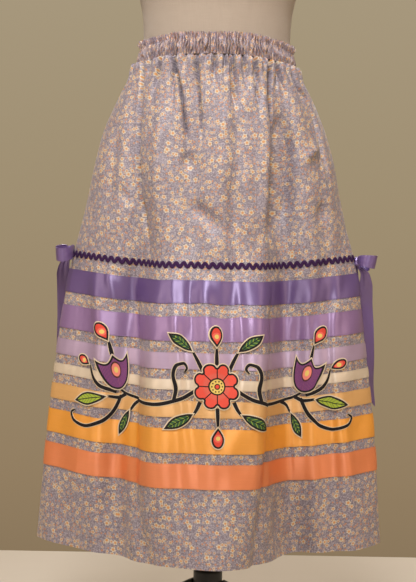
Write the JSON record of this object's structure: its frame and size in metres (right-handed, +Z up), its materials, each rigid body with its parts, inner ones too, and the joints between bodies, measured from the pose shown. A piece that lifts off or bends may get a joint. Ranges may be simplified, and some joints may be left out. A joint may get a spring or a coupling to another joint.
{
  "type": "ribbon skirt on dress form",
  "caption": "Full-length gathered cotton skirt with satin ribbon bands, rickrack, side bows and a floral applique, worn on a limbless dress form with a cast leg base.",
  "frame": {"origin": "on the floor under the pole, at the middle of the part's bounding box", "axes": "+Z up along the pole; -Y is the skirt's front; +X is the skirt's side at the viewer's right when facing the front"},
  "size_m": [0.563, 0.4528, 1.543],
  "materials": {
    "print_cotton": "matt printed cotton",
    "satin_purple": "satin weave",
    "satin_lavender": "satin weave",
    "satin_lilac": "satin weave",
    "satin_cream": "satin weave",
    "satin_tan": "satin weave",
    "satin_gold": "satin weave",
    "satin_coral": "satin weave",
    "rickrack": "woven braid",
    "satin_bow": "satin weave",
    "applique_red": "matt cotton",
    "applique_plum": "matt cotton",
    "applique_green": "matt cotton",
    "applique_lime": "matt cotton",
    "applique_orange": "matt cotton",
    "form_cover": "matt jersey over a hard shell",
    "black_metal": "satin black"
  },
  "bodies": {
    "root": {"skirt_front": "print_cotton", "skirt_back": "print_cotton", "waist_casing": "print_cotton", "ribbon_purple_front": "satin_purple", "ribbon_purple_back": "satin_purple", "ribbon_lavender_front": "satin_lavender", "ribbon_lavender_back": "satin_lavender", "ribbon_lilac_front": "satin_lilac", "ribbon_lilac_back": "satin_lilac", "ribbon_cream_front": "satin_cream", "ribbon_cream_back": "satin_cream", "ribbon_tan_front": "satin_tan", "ribbon_tan_back": "satin_tan", "ribbon_gold_front": "satin_gold", "ribbon_gold_back": "satin_gold", "ribbon_coral_front": "satin_coral", "ribbon_coral_back": "satin_coral", "rickrack_front": "rickrack", "rickrack_back": "rickrack", "bow_left_knot": "satin_bow", "bow_left_loop_front": "satin_bow", "bow_left_loop_back": "satin_bow", "bow_left_tail_long": "satin_bow", "bow_left_tail_short": "satin_bow", "bow_right_knot": "satin_bow", "bow_right_loop_front": "satin_bow", "bow_right_loop_back": "satin_bow", "bow_right_tail_long": "satin_bow", "bow_right_tail_short": "satin_bow", "applique_rosette": "applique_red", "applique_tulip_left": "applique_plum", "applique_tulip_right": "applique_plum", "applique_leaf_1": "applique_green", "applique_leaf_2": "applique_green", "applique_leaf_3": "applique_lime", "applique_leaf_4": "applique_lime", "applique_leaf_5": "applique_green", "applique_leaf_6": "applique_green", "applique_leaf_7": "applique_green", "applique_leaf_8": "applique_green", "applique_bud_1": "applique_orange", "applique_bud_2": "applique_orange", "applique_bud_3": "applique_orange", "applique_bud_4": "applique_orange", "applique_bud_5": "applique_orange", "applique_bud_6": "applique_orange", "form_torso": "form_cover", "form_cap": "black_metal", "stand_pole": "black_metal", "stand_hub": "black_metal", "stand_leg_1": "black_metal", "stand_leg_2": "black_metal", "stand_leg_3": "black_metal", "stand_leg_4": "black_metal"}
  },
  "joints": []
}
